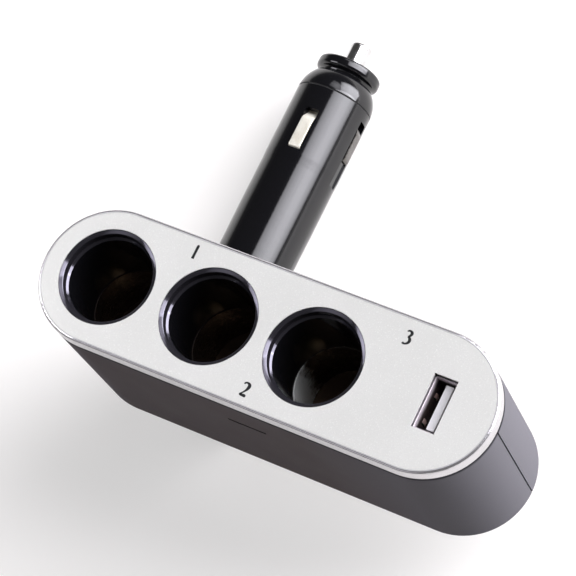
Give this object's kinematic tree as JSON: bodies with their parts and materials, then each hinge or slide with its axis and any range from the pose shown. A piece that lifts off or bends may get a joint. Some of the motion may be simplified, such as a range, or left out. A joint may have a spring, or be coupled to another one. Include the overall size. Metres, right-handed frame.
{
  "type": "three-outlet charging adapter",
  "caption": "Charging adapter with a row of round lighter sockets, a USB socket at one end and a folding lighter plug on a hinge behind the body.",
  "frame": {"origin": "centre of the middle socket where its straight bore starts, 3 mm below the face", "axes": "+Z out of the sockets; +X along the row of sockets towards the USB socket; +Y towards the side that the folded plug points to"},
  "size_m": [0.1196, 0.1154, 0.0712],
  "materials": {
    "silver_sheet": "satin",
    "silver_gloss": "metallic gloss",
    "grey_shell": "satin",
    "black_gloss": "gloss",
    "polished_steel": "polished",
    "fibre": "matte",
    "brass": "satin",
    "white_plastic": "gloss",
    "board_green": "satin",
    "dark_ferrite": "matte",
    "can_aluminium": "satin",
    "black_matte": "matte",
    "lead_red": "satin",
    "lead_black": "satin",
    "clear_glass": "polished",
    "chrome": "polished",
    "steel": "satin"
  },
  "bodies": {
    "housing": {"face_sheet": "silver_sheet", "front_cover": "silver_gloss", "upper_housing": "grey_shell", "lower_housing": "grey_shell", "housing_screws": "steel", "socket_well_1": "black_gloss", "socket_well_2": "black_gloss", "socket_well_3": "black_gloss", "ground_sleeve_1": "polished_steel", "ground_sleeve_2": "polished_steel", "ground_sleeve_3": "polished_steel", "insulator_1": "fibre", "insulator_2": "fibre", "insulator_3": "fibre", "centre_contact_1": "brass", "centre_contact_2": "brass", "centre_contact_3": "brass", "power_bus": "brass", "ground_bus": "brass", "usb_shell": "polished_steel", "usb_tongue": "white_plastic", "usb_pins": "brass", "usb_board": "board_green", "board_coil": "dark_ferrite", "board_capacitor": "can_aluminium", "board_chip": "black_matte", "board_power_lead": "lead_red", "board_ground_lead": "lead_black", "power_lead_body": "lead_red", "ground_lead_body": "lead_black"},
    "plug": {"plug_barrel": "black_gloss", "nose_cap": "black_gloss", "fuse_tube": "black_matte", "fuse_glass": "clear_glass", "fuse_caps": "polished_steel", "fuse_terminal": "brass", "ground_collar": "brass", "power_lead_plug": "lead_red", "ground_lead_plug": "lead_black", "tip_spring": "steel"},
    "tip_nut": {"tip_nut": "black_gloss"},
    "tip_pin": {"tip_pin": "chrome"},
    "side_spring_1": {"side_spring_1": "steel"},
    "side_spring_2": {"side_spring_2": "steel"},
    "side_spring_3": {"side_spring_3": "steel"},
    "side_spring_4": {"side_spring_4": "steel"}
  },
  "joints": [
    {"name": "plug_fold", "type": "hinge", "parent": "housing", "child": "plug", "pos_m": [-0.0232, 0, -0.0575], "axis": [-1, 0, 0], "range_deg": [0, 90]},
    {"name": "nut_turn", "type": "hinge", "parent": "plug", "child": "tip_nut", "pos_m": [-0.0232, 0.0892, -0.0575], "axis": [0, 1, 0], "range_deg": [0, 1080]},
    {"name": "tip_press", "type": "slide", "parent": "tip_nut", "child": "tip_pin", "axis": [0, -1, 0], "range_m": [0, 0.0026], "stiffness_N_per_m": 2500, "deforming": ["tip_spring"]},
    {"name": "side_press_1", "type": "slide", "parent": "plug", "child": "side_spring_1", "axis": [-1, 0, 0], "range_m": [0, 0.00045], "stiffness_N_per_m": 4000},
    {"name": "side_press_2", "type": "slide", "parent": "plug", "child": "side_spring_2", "axis": [0, 0, 1], "range_m": [0, 0.00045], "stiffness_N_per_m": 4000},
    {"name": "side_press_3", "type": "slide", "parent": "plug", "child": "side_spring_3", "axis": [1, 0, 0], "range_m": [0, 0.00045], "stiffness_N_per_m": 4000},
    {"name": "side_press_4", "type": "slide", "parent": "plug", "child": "side_spring_4", "axis": [0, 0, -1], "range_m": [0, 0.00045], "stiffness_N_per_m": 4000}
  ]
}
